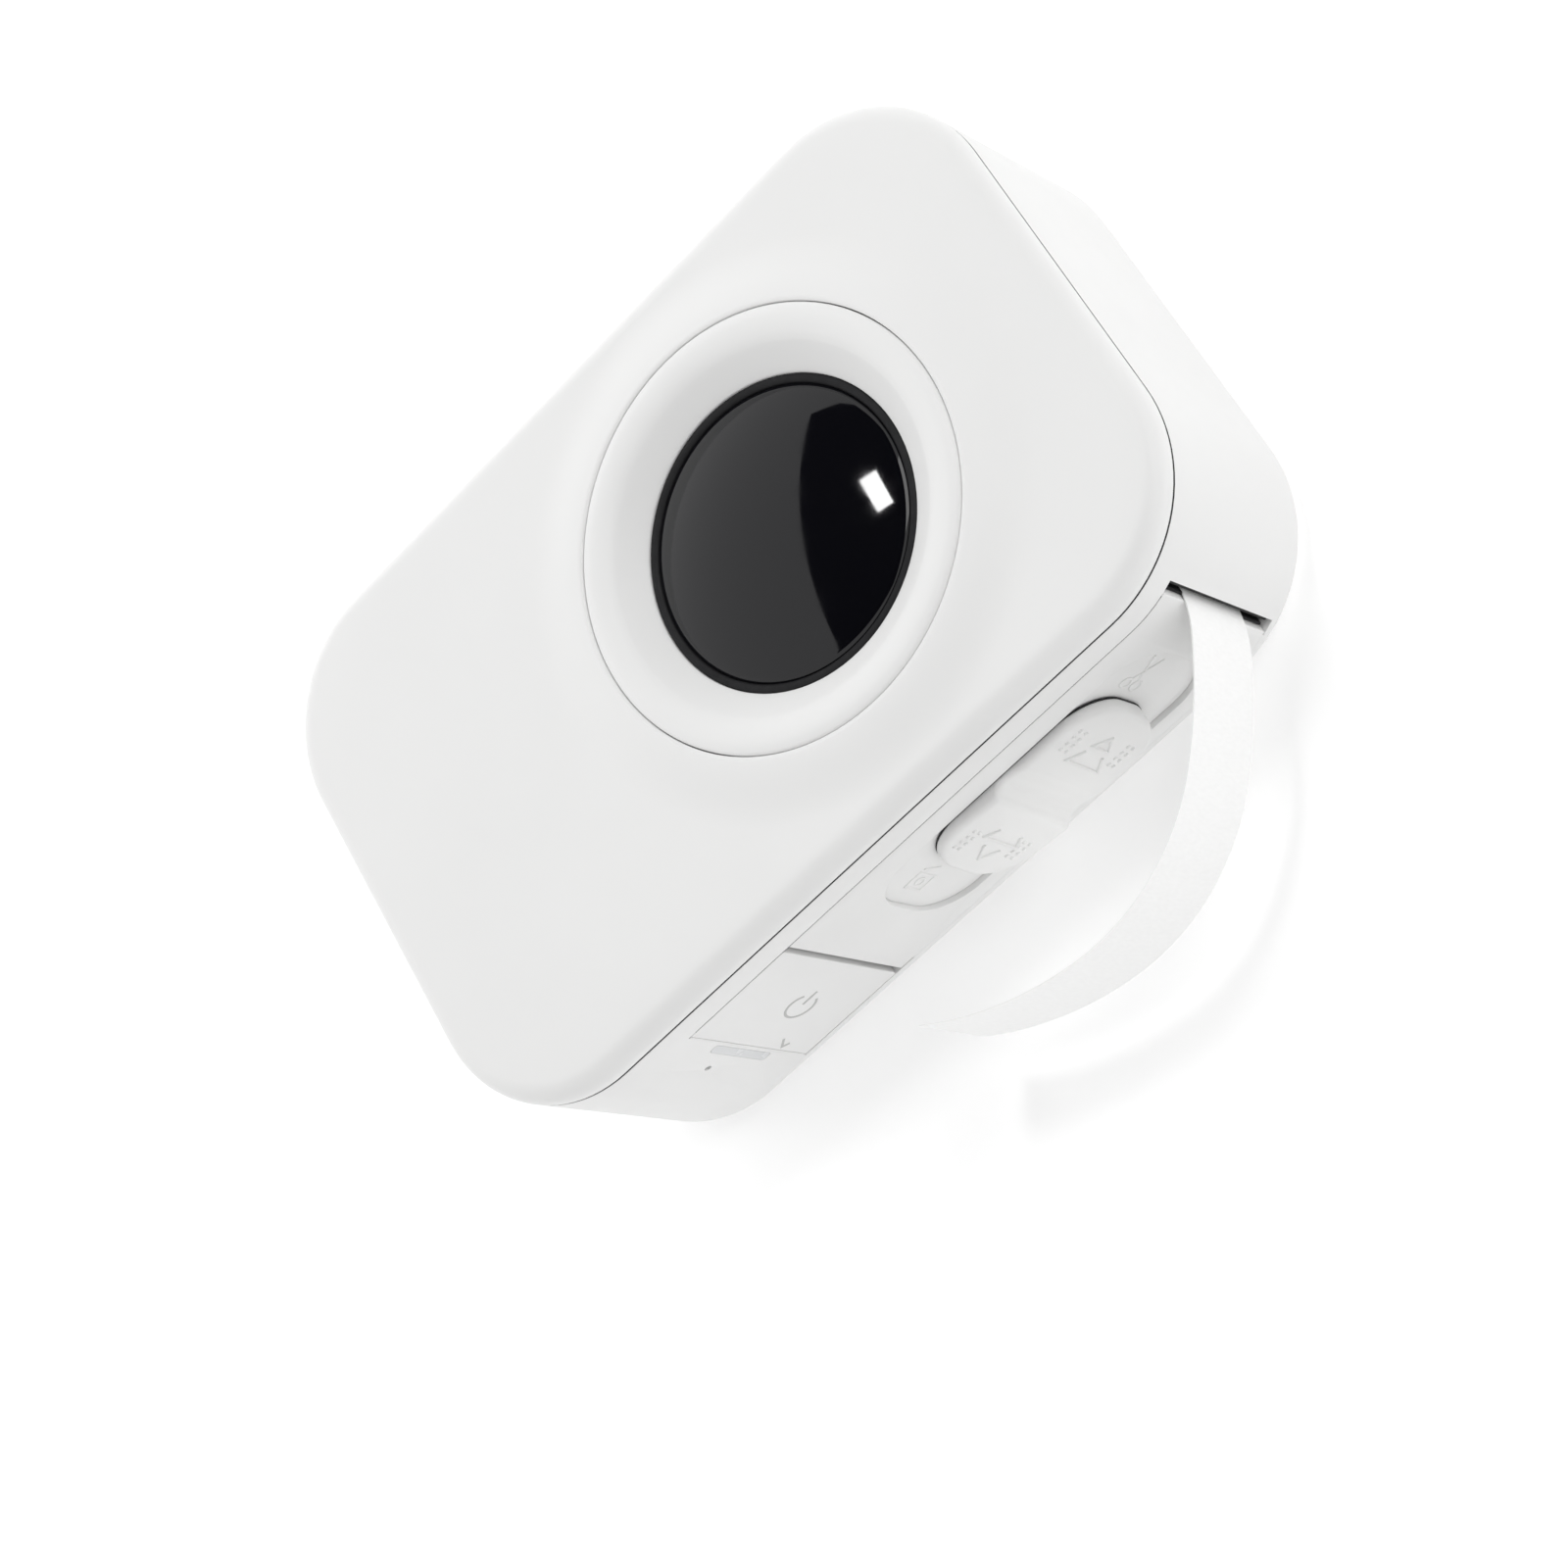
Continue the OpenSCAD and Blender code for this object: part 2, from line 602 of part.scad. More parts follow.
module mechanism_cover() color(liner_grey) {
    translate([0, 0, 27.4]) linear_extrude(1.4) polygon([[-16, 42], [-2, 42.6], [7, 46],
        [19, 51.4], [31, nip_y + 2], [30, 57], [20, 60], [-16, 60]]);
    for (p = [[-13.5, 54], [-13.5, 44]]) rod(p, 1.5, [deck_top, 27.4]);
}

// ---- Electronics ----

module electronics_cover() color(liner_grey) {
    intersection() {
        case_plate(wall + deck_gap, [30.6, 32]);
        box([-side_x, -end_y, 30], [side_x, deck_y - 0.4, 33]);
    }
    box([-34, deck_y - 1.9, deck_top + 12], [34, deck_y - 0.4, 30.6]);
    for (p = board_posts) rod(p, 2, [board_z + board_t + 1.2, 30.6]);
}

module main_board() color(board_green) difference() {
    intersection() {
        case_plate(wall + 0.9, [board_z, board_z + board_t]);
        box([-side_x, -end_y, 0], [side_x, deck_y - 2.4, shell_d]);
    }
    for (p = board_posts) rod(p, 1.1, [board_z - 1, board_z + board_t + 1]);
    box([37.2, -39, board_z - 1], [side_x, deck_y, board_z + board_t + 1]);
}

module board_chips() color(smoke) {
    top = board_z + board_t;
    for (c = [[-14, -42, 9, 9, 1], [8, -38, 6, 6, 0.9], [20, -47, 5, 4, 1.2], [-2, -30, 8, 5, 1.6]])
        translate([c[0], c[1], top]) cube([c[2], c[3], c[4]]);
    for (i = [0:5]) translate([-24 + 3 * i, -52, top]) cube([1.2, 2, 0.8]);
}

module radio_module() color("#3a3a40")
    translate([-31, -46, board_z + board_t]) cube([12, 16, 2.2]);

module usb_port() color(steel) translate([0, -end_y + 0.3, usb_z]) difference() {
    rotate([-90, 0, 0]) linear_extrude(7.5) round_rect(9, 3.2, 1.5);
    translate([0, -1, 0]) rotate([-90, 0, 0]) linear_extrude(7) round_rect(8.4, 2.6, 1.2);
}

module battery_pack() color("#3f6fa8") translate([-5, -41, 2.2]) linear_extrude(11.4)
    round_rect(50, 34, 3);

module battery_lead() color(lead_red) sweep(spline([[20.2, -40, 9], [24, -40, 9], [27, -39, 11],
    [28, -37, 14], [28, -36.4, board_z - 0.3]]), 0.7, 8, [0, 1, 0]);

module lead_sockets() color("#efeee8") for (x = [-26.5, -18.5])
    box([x, -29.5, board_z + board_t], [x + 5, -26, board_z + board_t + 3]);

module motor_lead() color(lead_red) sweep(spline([[-7, 52, 17], [-13, 50, 18], [-24, 46, 18],
    [-34, 34, 15], [-35.5, 15, 13], [-35, -8, 14], [-29, -15.5, 17.5], [-18.5, -20, 19.6],
    [-16, -25.8, 19.6]]), 0.7, 8);

module head_lead() color("#d9d9d6") sweep(spline([[17.5, 59.2, 20], [14, 59.6, 24.5],
    [6, 58.5, 25.9], [-10, 57.6, 25.9], [-25, 52, 24], [-34.5, 38, 20], [-36.5, 15, 17],
    [-36.3, -8, 17], [-34.2, -16.5, 18.5], [-26.5, -21.2, 19.6], [-24, -25.8, 19.6]]), 0.7, 8);

// ---- Screws ----

module case_screws() color(steel) for (p = case_posts)
    screw(p, deck_top, 0.98, 6, 2.2, 1.3);

module board_screws() color(steel) for (p = board_posts)
    screw(p, board_z + board_t, 0.88, 5, 1.8, 1.1);

back_shell();
side_panel();
slider_guide();
slide_knob();
slider_carriage();
cutter_blade();
anvil_blade();
cutter_spring();
latch_spring();
power_key();
power_switch();
status_light();
reset_switch();
front_cover();
cover_liner();
window_ring();
window_gasket();
window_lens();
hinge_pins();
inner_deck();
roll_spindle();
roll_core();
label_roll();
label_web();
printed_label();
platen_roller();
platen_shaft();
platen_bushes();
platen_gear();
idler_gear();
idler_post();
gear_plate();
plate_spacers();
drive_motor();
motor_shaft();
motor_pinion();
motor_screws();
print_head();
head_heatsink();
head_lever();
head_pivot_pin();
head_spring();
gap_sensor();
mechanism_cover();
electronics_cover();
main_board();
board_chips();
radio_module();
usb_port();
lead_sockets();
battery_pack();
battery_lead();
motor_lead();
head_lead();
case_screws();
board_screws();
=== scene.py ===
import json
import math

import bmesh
import bpy
from mathutils import Matrix, Vector


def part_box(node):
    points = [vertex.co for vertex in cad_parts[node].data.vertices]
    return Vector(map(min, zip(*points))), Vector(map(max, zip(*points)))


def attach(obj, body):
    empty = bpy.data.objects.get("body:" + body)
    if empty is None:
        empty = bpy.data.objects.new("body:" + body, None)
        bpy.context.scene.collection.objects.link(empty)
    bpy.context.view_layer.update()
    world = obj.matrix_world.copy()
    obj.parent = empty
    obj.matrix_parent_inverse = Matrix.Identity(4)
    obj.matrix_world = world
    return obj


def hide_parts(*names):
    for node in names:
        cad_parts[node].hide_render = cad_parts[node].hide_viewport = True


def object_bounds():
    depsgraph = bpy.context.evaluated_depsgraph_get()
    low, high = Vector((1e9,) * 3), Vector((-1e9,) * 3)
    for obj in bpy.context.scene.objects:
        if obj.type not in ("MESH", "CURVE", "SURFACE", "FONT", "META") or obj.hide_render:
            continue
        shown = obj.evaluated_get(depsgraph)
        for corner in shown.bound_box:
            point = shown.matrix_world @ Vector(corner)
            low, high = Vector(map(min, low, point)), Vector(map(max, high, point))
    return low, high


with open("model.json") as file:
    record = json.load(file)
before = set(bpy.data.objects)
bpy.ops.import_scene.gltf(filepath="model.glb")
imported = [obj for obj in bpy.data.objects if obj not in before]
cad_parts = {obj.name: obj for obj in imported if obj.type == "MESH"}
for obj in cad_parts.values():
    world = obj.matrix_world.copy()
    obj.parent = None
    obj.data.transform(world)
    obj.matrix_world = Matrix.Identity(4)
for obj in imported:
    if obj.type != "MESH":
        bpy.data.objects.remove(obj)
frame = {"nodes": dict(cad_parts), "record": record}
cad_low, cad_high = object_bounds()
MM = 0.001
scene = bpy.context.scene

# ---- Places taken from the frame, in metres ----

_, shell_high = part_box("back_shell")
ring_low, ring_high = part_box("window_ring")
lens_low, lens_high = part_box("window_lens")
gasket_low, gasket_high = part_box("window_gasket")
panel_low, panel_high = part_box("side_panel")
knob_low, knob_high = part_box("slide_knob")
label_low, label_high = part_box("printed_label")
pin_low, pin_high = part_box("hinge_pins")

HALF_W = shell_high.x
HALF_L = shell_high.y
CORNER_R = 20.2 * MM
SHELL_TOP = 34.7 * MM
WALL = 1.8 * MM
COVER_BASE = SHELL_TOP + 0.3 * MM
COVER_FACE = COVER_BASE + 3.2 * MM
COVER_ROUND = 2.8 * MM
RING_C = (ring_low + ring_high) / 2
RING_R = 29 * MM
SWELL_TOP = COVER_FACE + 1.5 * MM
SWELL_W = 9 * MM
LENS_R = (lens_high.x - lens_low.x) / 2
GASKET_R = (gasket_high.x - gasket_low.x) / 2
LENS_RIM = 36.1 * MM
LENS_T = 1.5 * MM
CEILING = COVER_FACE - 1.7 * MM
ROUND_STEPS = 160
HINGE = (pin_low + pin_high) / 2
KNUCKLE_YS = (-25, 25)
KNUCKLE_R = 1.3
KNUCKLE_L = 8
PANEL_Z = (panel_low.z / MM, panel_high.z / MM)
KEY_END_Y = -35.2
KEY_SLIT_Y = (-18.6, -15.9)
PANEL_END_Y = panel_high.y / MM


# ---- Materials ----

def new_material(name, colour, roughness, **sockets):
    m = bpy.data.materials.new(name)
    m.use_nodes = True
    shader = m.node_tree.nodes["Principled BSDF"]
    shader.inputs["Base Color"].default_value = (*colour, 1)
    shader.inputs["Roughness"].default_value = roughness
    for socket, value in sockets.items():
        shader.inputs[socket.replace("_", " ")].default_value = value
    return m


def noise(m, scale, detail=3.0, stretch=(1, 1, 1)):
    """A noise texture in the object's own metres; scale is in features per metre."""
    nodes, links = m.node_tree.nodes, m.node_tree.links
    where = nodes.new("ShaderNodeTexCoord")
    mapping = nodes.new("ShaderNodeMapping")
    mapping.inputs["Scale"].default_value = stretch
    texture = nodes.new("ShaderNodeTexNoise")
    texture.inputs["Scale"].default_value = scale
    texture.inputs["Detail"].default_value = detail
    links.new(where.outputs["Object"], mapping.inputs["Vector"])
    links.new(mapping.outputs["Vector"], texture.inputs["Vector"])
    return texture.outputs["Fac"]


def spread(m, source, low, high):
    """Maps a texture's middle range to low..high."""
    remap = m.node_tree.nodes.new("ShaderNodeMapRange")
    remap.inputs["From Min"].default_value = 0.3
    remap.inputs["From Max"].default_value = 0.7
    remap.inputs["To Min"].default_value = low
    remap.inputs["To Max"].default_value = high
    m.node_tree.links.new(source, remap.inputs["Value"])
    return remap.outputs["Result"]


def vary_colour(m, source, first, second):
    nodes, links = m.node_tree.nodes, m.node_tree.links
    mix = nodes.new("ShaderNodeMix")
    mix.data_type = "RGBA"
    mix.inputs[6].default_value = (*first, 1)
    mix.inputs[7].default_value = (*second, 1)
    links.new(spread(m, source, 0, 1), mix.inputs[0])
    links.new(mix.outputs[2], nodes["Principled BSDF"].inputs["Base Color"])


def vary_roughness(m, source, low, high):
    m.node_tree.links.new(spread(m, source, low, high),
                          m.node_tree.nodes["Principled BSDF"].inputs["Roughness"])


def bump(m, source, depth, strength=1.0):
    nodes, links = m.node_tree.nodes, m.node_tree.links
    node = nodes.new("ShaderNodeBump")
    node.inputs["Distance"].default_value = depth
    node.inputs["Strength"].default_value = strength
    links.new(source, node.inputs["Height"])
    links.new(node.outputs["Normal"], nodes["Principled BSDF"].inputs["Normal"])


def moulded(name, colour, shade, roughness, grain=5200, depth=0.012 * MM):
    """Fine spark-eroded plastic: an even grain with a slow drift in tone and gloss."""
    m = new_material(name, colour, roughness, Specular_IOR_Level=0.42)
    slow = noise(m, 45, 2)
    vary_colour(m, slow, colour, tuple(c * shade for c in colour))
    vary_roughness(m, noise(m, 320, 4), roughness - 0.05, roughness + 0.05)
    bump(m, noise(m, grain, 2), depth, 0.55)
    return m


def metal(name, colour, roughness, stretch=(1, 1, 14)):
    """Drawn or rolled metal with fine lines along its length."""
    m = new_material(name, colour, roughness, Metallic=1.0)
    lines = noise(m, 1800, 3, stretch)
    vary_colour(m, noise(m, 150, 3), colour, tuple(c * 0.86 for c in colour))
    vary_roughness(m, lines, roughness - 0.06, roughness + 0.09)
    bump(m, lines, 0.006 * MM, 0.5)
    return m


def rubber(name, colour, roughness):
    m = new_material(name, colour, roughness, Specular_IOR_Level=0.35)
    vary_colour(m, noise(m, 220, 3), colour, tuple(c * 1.5 for c in colour))
    vary_roughness(m, noise(m, 900, 3), roughness - 0.07, roughness + 0.07)
    bump(m, noise(m, 7000, 2), 0.01 * MM, 0.6)
    return m


def glossy(name, colour, roughness, coat=0.0):
    m = new_material(name, colour, roughness, Coat_Weight=coat, Coat_Roughness=0.03)
    vary_colour(m, noise(m, 60, 2), colour, tuple(c * 0.9 for c in colour))
    vary_roughness(m, noise(m, 260, 4), roughness, roughness + 0.05)
    bump(m, noise(m, 900, 2), 0.002 * MM, 0.3)
    return m


def paper(name, colour, roughness, fibre=2600):
    """Coated label paper: faint fibres under a satin coat."""
    m = new_material(name, colour, roughness, Specular_IOR_Level=0.4)
    fibres = noise(m, fibre, 5, (1, 1, 0.35))
    vary_colour(m, fibres, colour, tuple(c * 0.965 for c in colour))
    vary_roughness(m, noise(m, 700, 3), roughness - 0.05, roughness + 0.07)
    bump(m, fibres, 0.006 * MM, 0.5)
    return m


WHITE = (0.83, 0.83, 0.825)
material = {
    "shell_plastic": moulded("white_shell_plastic", WHITE, 0.985, 0.46),
    "frame_plastic": moulded("grey_frame_plastic", (0.52, 0.52, 0.515), 0.97, 0.52, 3600),
    "steel": metal("drawn_steel", (0.55, 0.56, 0.58), 0.33),
    "black_plastic": moulded("black_component_plastic", (0.018, 0.018, 0.02), 1.3, 0.5, 2600),
    "light_pipe": glossy("milky_light_pipe", (0.72, 0.73, 0.74), 0.24),
    "gasket_rubber": rubber("black_rubber", (0.006, 0.006, 0.007), 0.62),
    "smoked_lens": glossy("smoked_lens_plastic", (0.0035, 0.0035, 0.005), 0.03),
    "roll_card": paper("brown_core_card", (0.36, 0.25, 0.15), 0.75, 1500),
    "label_paper": paper("thermal_label_paper", (0.94, 0.94, 0.935), 0.42),
    "bronze": metal("sintered_bronze", (0.45, 0.3, 0.13), 0.42, (1, 1, 1)),
    "gear_plastic": moulded("natural_acetal", (0.75, 0.74, 0.68), 0.97, 0.4),
    "motor_case": metal("plated_motor_can", (0.4, 0.41, 0.42), 0.36),
    "head_ceramic": glossy("glazed_head_ceramic", (0.1, 0.07, 0.045), 0.2),
    "aluminium": metal("extruded_aluminium", (0.62, 0.63, 0.64), 0.34),
    "circuit_board": glossy("green_solder_mask", (0.012, 0.11, 0.05), 0.3),
    "battery_wrap": glossy("blue_shrink_wrap", (0.03, 0.1, 0.28), 0.32),
    "lead_red": glossy("red_lead_insulation", (0.38, 0.012, 0.012), 0.35),
    "lead_grey": glossy("grey_lead_insulation", (0.5, 0.5, 0.49), 0.38),
}
slot_of = {s["node"]: s["material_slot"] for s in frame["record"]["subparts"]}


def soften_edges(name, width):
    """Rounds the sharp edges of a CAD node without touching its mesh."""
    node = frame["nodes"][name]
    weld = node.modifiers.new("weld", "WELD")
    weld.merge_threshold = 0.002 * MM
    bevel = node.modifiers.new("bevel", "BEVEL")
    bevel.width = width
    bevel.segments = 3
    bevel.limit_method = "ANGLE"
    bevel.angle_limit = math.radians(50)
    bevel.harden_normals = True


def dress_cad_nodes():
    """Gives every CAD node its material and smooths its round faces."""
    for name, node in frame["nodes"].items():
        mesh = node.data
        mesh.materials.clear()
        mesh.materials.append(material[slot_of[name]])
        mesh.polygons.foreach_set("use_smooth", [True] * len(mesh.polygons))
        mesh.set_sharp_from_angle(angle=math.radians(32))


# ---- Mesh helpers ----

def add_mesh(name, points, faces, slot, body, replaced=(), sharp=32):
    """A closed mesh that rides on a body, in a slot's material, in place of some CAD nodes."""
    mesh = bpy.data.meshes.new(name)
    mesh.from_pydata([tuple(p) for p in points], [], faces)
    bm = bmesh.new()
    bm.from_mesh(mesh)
    bmesh.ops.recalc_face_normals(bm, faces=bm.faces)
    bm.to_mesh(mesh)
    bm.free()
    mesh.polygons.foreach_set("use_smooth", [True] * len(mesh.polygons))
    mesh.set_sharp_from_angle(angle=math.radians(sharp))
    mesh.materials.append(material[slot])
    piece = bpy.data.objects.new(name, mesh)
    scene.collection.objects.link(piece)
    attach(piece, body)
    if replaced:
        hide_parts(*replaced)


def ring_faces(rows, n, wrap):
    """Quads between rows of n points, each row a closed loop. wrap joins the last row to the first."""
    pairs = [(k, k + 1) for k in range(rows - 1)] + ([(rows - 1, 0)] if wrap else [])
    return [(a * n + i, a * n + (i + 1) % n, b * n + (i + 1) % n, b * n + i)
            for a, b in pairs for i in range(n)]


def revolve(profile, centre, n=ROUND_STEPS):
    """Points and faces of a closed profile of (radius, height), turned about a vertical axis."""
    points = [(centre.x + r * math.cos(math.tau * i / n), centre.y + r * math.sin(math.tau * i / n), z)
              for r, z in profile for i in range(n)]
    return points, ring_faces(len(profile), n, True)


def smooth_curve(points, steps=6):
    """Catmull-Rom curve through 2D points."""
    last = len(points) - 1
    out = []
    for i in range(last):
        a, b, c, d = (Vector(points[max(i - 1, 0)]), Vector(points[i]), Vector(points[i + 1]),
                      Vector(points[min(i + 2, last)]))
        for j in range(steps):
            t = j / steps
            p = 0.5 * (2 * b + (c - a) * t + (2 * a - 5 * b + 4 * c - d) * t * t
                       + (3 * b - a - 3 * c + d) * t ** 3)
            out.append((p.x, p.y))
    return out + [tuple(points[-1])]


ARC_STEPS, END_STEPS, SIDE_STEPS = 22, 22, 48


def case_outline(inset):
    """The case's outline, moved inwards, anticlockwise from the +X side; every inset has the same count."""
    r = CORNER_R - inset
    corners = [(HALF_W - CORNER_R, HALF_L - CORNER_R), (CORNER_R - HALF_W, HALF_L - CORNER_R),
               (CORNER_R - HALF_W, CORNER_R - HALF_L), (HALF_W - CORNER_R, CORNER_R - HALF_L)]
    arcs = [[(x + r * math.cos(a), y + r * math.sin(a)) for a in
             [math.radians(90 * (k + i / ARC_STEPS)) for i in range(ARC_STEPS + 1)]]
            for k, (x, y) in enumerate(corners)]
    out = []
    for k, arc in enumerate(arcs):
        out += arc
        start, end = Vector(arc[-1]), Vector(arcs[(k + 1) % 4][0])
        steps = (END_STEPS, SIDE_STEPS)[k % 2]
        out += [tuple(start.lerp(end, i / steps)) for i in range(1, steps)]
    return out


def swell(r):
    """Height of the cover's face at a distance from the window's middle."""
    share = min(max((r - RING_R) / SWELL_W, 0), 1)
    return COVER_FACE + (SWELL_TOP - COVER_FACE) * (1 + math.cos(math.pi * share)) / 2


# ---- Cover and window ----

def make_cover():
    """Loops from the window's hole over the swell and face, round the rim and back underneath."""
    rim = case_outline(0)
    angles = [math.atan2(y - RING_C.y, x - RING_C.x) for x, y in rim]
    loops = []

    def circle(r, z):
        loops.append([(RING_C.x + r * math.cos(a), RING_C.y + r * math.sin(a), z) for a in angles])

    def edge(inset, z):
        loops.append([(x, y, z) for x, y in case_outline(inset)])

    def between(r, inset, z, steps):
        ring = [Vector((RING_C.x + r * math.cos(a), RING_C.y + r * math.sin(a), z)) for a in angles]
        line = [Vector((x, y, z)) for x, y in case_outline(inset)]
        for k in steps:
            loops.append([tuple(a.lerp(b, k)) for a, b in zip(ring, line)])

    hole = RING_R + 0.08 * MM
    circle(hole, CEILING)
    circle(hole, SWELL_TOP - 0.12 * MM)
    circle(hole + 0.12 * MM, SWELL_TOP)
    for k in range(1, 17):
        r = hole + 0.12 * MM + (SWELL_W - 0.2 * MM) * k / 16
        circle(r, swell(r))
    between(RING_R + SWELL_W, COVER_ROUND, COVER_FACE, [0.2, 0.4, 0.6, 0.8, 1.0])
    for k in range(1, 11):
        a = math.radians(9 * k)
        edge(COVER_ROUND * (1 - math.sin(a)), COVER_FACE - COVER_ROUND * (1 - math.cos(a)))
    edge(0, COVER_BASE + 0.12 * MM)
    edge(0.12 * MM, COVER_BASE)
    edge(WALL - 0.1 * MM, COVER_BASE)
    edge(WALL, COVER_BASE + 0.1 * MM)
    edge(WALL, CEILING - 0.5 * MM)
    edge(WALL + 0.15 * MM, CEILING - 0.15 * MM)
    edge(WALL + 0.5 * MM, CEILING)
    between(hole, WALL + 0.5 * MM, CEILING, [0.66, 0.33])
    points = [p for loop in loops for p in loop]
    add_mesh("cover_shell", points, ring_faces(len(loops), len(rim), True),
             "shell_plastic", "lid", ["front_cover"], sharp=50)


def make_window():
    """The rounded ring with its conical inside, and the gasket round the lens."""
    crest = smooth_curve([(28.92, 39.35), (28.84, 39.56), (28.5, 39.8), (27.6, 39.97), (26.4, 39.88),
                          (25.2, 39.58), (24.3, 39.18), (23.75, 38.82)])
    cone = [(23.4, 38.55), (22.4, 37.82), (21.4, 37.08), (20.85, 36.68), (20.66, 36.52)]
    outside = [(28.92, 36.6), (28.92, 38.0)]
    inside = [(20.6, 36.42), (20.6, 35.4), (26.0, 35.3), (30.8, 35.3), (30.8, 36.45), (29.0, 36.45)]
    profile = [(r * MM, z * MM) for r, z in outside + crest + cone + inside]
    points, faces = revolve(profile, RING_C)
    add_mesh("window_ring_moulding", points, faces, "shell_plastic", "lid", ["window_ring"], 40)

    seat = gasket_low.z
    lip = gasket_high.z
    r0, r1 = LENS_R + 0.03 * MM, GASKET_R - 0.02 * MM
    profile = [(r0, seat), (r0, lip - 0.35 * MM), (r0 + 0.2 * MM, lip - 0.08 * MM), (r0 + 0.5 * MM, lip),
               (r1 - 0.35 * MM, lip), (r1 - 0.1 * MM, lip - 0.1 * MM), (r1, lip - 0.3 * MM), (r1, seat)]
    points, faces = revolve(profile, RING_C)
    add_mesh("lens_gasket", points, faces, "gasket_rubber", "lid", ["window_gasket"], 60)


def make_lens():
    """The domed lens, a cap of a sphere on a short straight rim."""
    rise = lens_high.z - LENS_RIM
    curve_r = (LENS_R ** 2 + rise ** 2) / (2 * rise)
    outer = [LENS_R * k / 26 for k in range(1, 26)]
    dome = [(r, lens_high.z - curve_r + math.sqrt(curve_r ** 2 - r ** 2)) for r in outer]
    rim = [(LENS_R - 0.06 * MM, LENS_RIM - 0.02 * MM), (LENS_R, LENS_RIM - 0.15 * MM), (LENS_R, lens_low.z)]
    under = [(r, z - LENS_T) for r, z in reversed(dome[:24])]
    n = ROUND_STEPS
    rows = dome + rim + under
    points = [(RING_C.x + r * math.cos(math.tau * i / n), RING_C.y + r * math.sin(math.tau * i / n), z)
              for r, z in rows for i in range(n)]
    points += [(RING_C.x, RING_C.y, lens_high.z), (RING_C.x, RING_C.y, lens_high.z - LENS_T)]
    faces = ring_faces(len(rows), n, False)
    top, bottom, last = len(points) - 2, len(points) - 1, (len(rows) - 1) * n
    faces += [(top, i, (i + 1) % n) for i in range(n)]
    faces += [(bottom, last + (i + 1) % n, last + i) for i in range(n)]
    add_mesh("window_dome", points, faces, "smoked_lens", "lid", ["window_lens"], 60)


# ---- Small fittings ----

def edge_strip(name, profile, keep, slot):
    """A strip along part of the case's outline, with a closed profile of (inset, height) in mm."""
    rows = [case_outline(inset * MM) for inset, _ in profile]
    kept = [keep(x / MM, y / MM) for x, y in rows[0]]
    start = next(i for i in range(len(kept)) if kept[i] and not kept[i - 1])
    chain = [i for i in (*range(start, len(kept)), *range(start)) if kept[i]]
    points = [(*row[i], z * MM) for i in chain for row, (_, z) in zip(rows, profile)]
    k = len(profile)
    faces = ring_faces(len(chain), k, False)
    faces += [tuple(range(k)), tuple(range(len(points) - k, len(points)))]
    add_mesh(name, points, faces, slot, "case")


def make_seams():
    """Dark strips painted as the shade in the gaps where the cover meets the shell, except along the hinge,
    and above the side panel. The panel's lower joint is closed."""
    low, high = SHELL_TOP / MM - 0.24, COVER_BASE / MM - 0.02
    hinge_x, hinge_end = HINGE.x / MM + 1, KNUCKLE_YS[1] + 6
    # A dark strip painted as the shade in the gap between cover and shell
    edge_strip("parting_gap_painted_shade", ((0.03, low), (0.03, high), (1.4, high), (1.4, low)),
               lambda x, y: x > hinge_x or abs(y) > hinge_end, "gasket_rubber")
    low, high = PANEL_Z[1] - 0.04, PANEL_Z[1] + 0.24
    # A dark strip painted as the shade in the gap above the side panel
    edge_strip("panel_gap_painted_shade", ((0.06, low), (0.06, high), (1.0, high), (1.0, low)),
               lambda x, y: x > 0 and KEY_END_Y - 0.1 < y < PANEL_END_Y + 0.1, "gasket_rubber")
    low, high = PANEL_Z[0] - 0.2, PANEL_Z[0] + 0.15
    edge_strip("panel_foot", ((0.01, low), (0.01, high), (1.0, high), (1.0, low)),
               lambda x, y: x > 0 and KEY_SLIT_Y[1] + 0.4 < y < PANEL_END_Y + 0.1, "shell_plastic")


def make_block(name, low, high, slot, body, bevel=0.1):
    """A box with chamfered edges between two corners in millimetres."""
    bm = bmesh.new()
    bmesh.ops.create_cube(bm, size=1)
    size = [(b - a) * MM for a, b in zip(low, high)]
    bmesh.ops.scale(bm, vec=size, verts=bm.verts)
    bmesh.ops.translate(bm, vec=[(a + b) * MM / 2 for a, b in zip(low, high)], verts=bm.verts)
    bmesh.ops.bevel(bm, geom=bm.edges[:], offset=bevel * MM, segments=2, affect="EDGES")
    points = [v.co.copy() for v in bm.verts]
    faces = [[v.index for v in f.verts] for f in bm.faces]
    bm.free()
    add_mesh(name, points, faces, slot, body)


def make_slit_shades_and_key_foot():
    """Dark blocks painted as the shade inside the label slot and inside the slit above the power key, and a
    white filler that closes the key's hinge line."""
    low, high = PANEL_Z[0] + 0.4, PANEL_Z[1] - 0.3
    # Dark blocks painted as the shade inside the label slot
    for name, y0, y1 in (("exit_slot_painted_shade_far", 50.4, 50.95), ("exit_slot_painted_shade_near", 49.45, 49.85)):
        make_block(name, (36.2, y0, low), (39.1, y1, high), "gasket_rubber", "case")
    # A dark block painted as the shade inside the slit above the power key
    make_block("key_slit_painted_shade", (37.9, KEY_SLIT_Y[0], low), (38.5, KEY_SLIT_Y[1], high), "gasket_rubber", "case")
    make_block("key_foot", (39.6, KEY_END_Y - 0.4, PANEL_Z[0] - 0.1),
               (40.97, KEY_END_Y - 0.04, PANEL_Z[1] - 0.1), "shell_plastic", "case", 0.04)


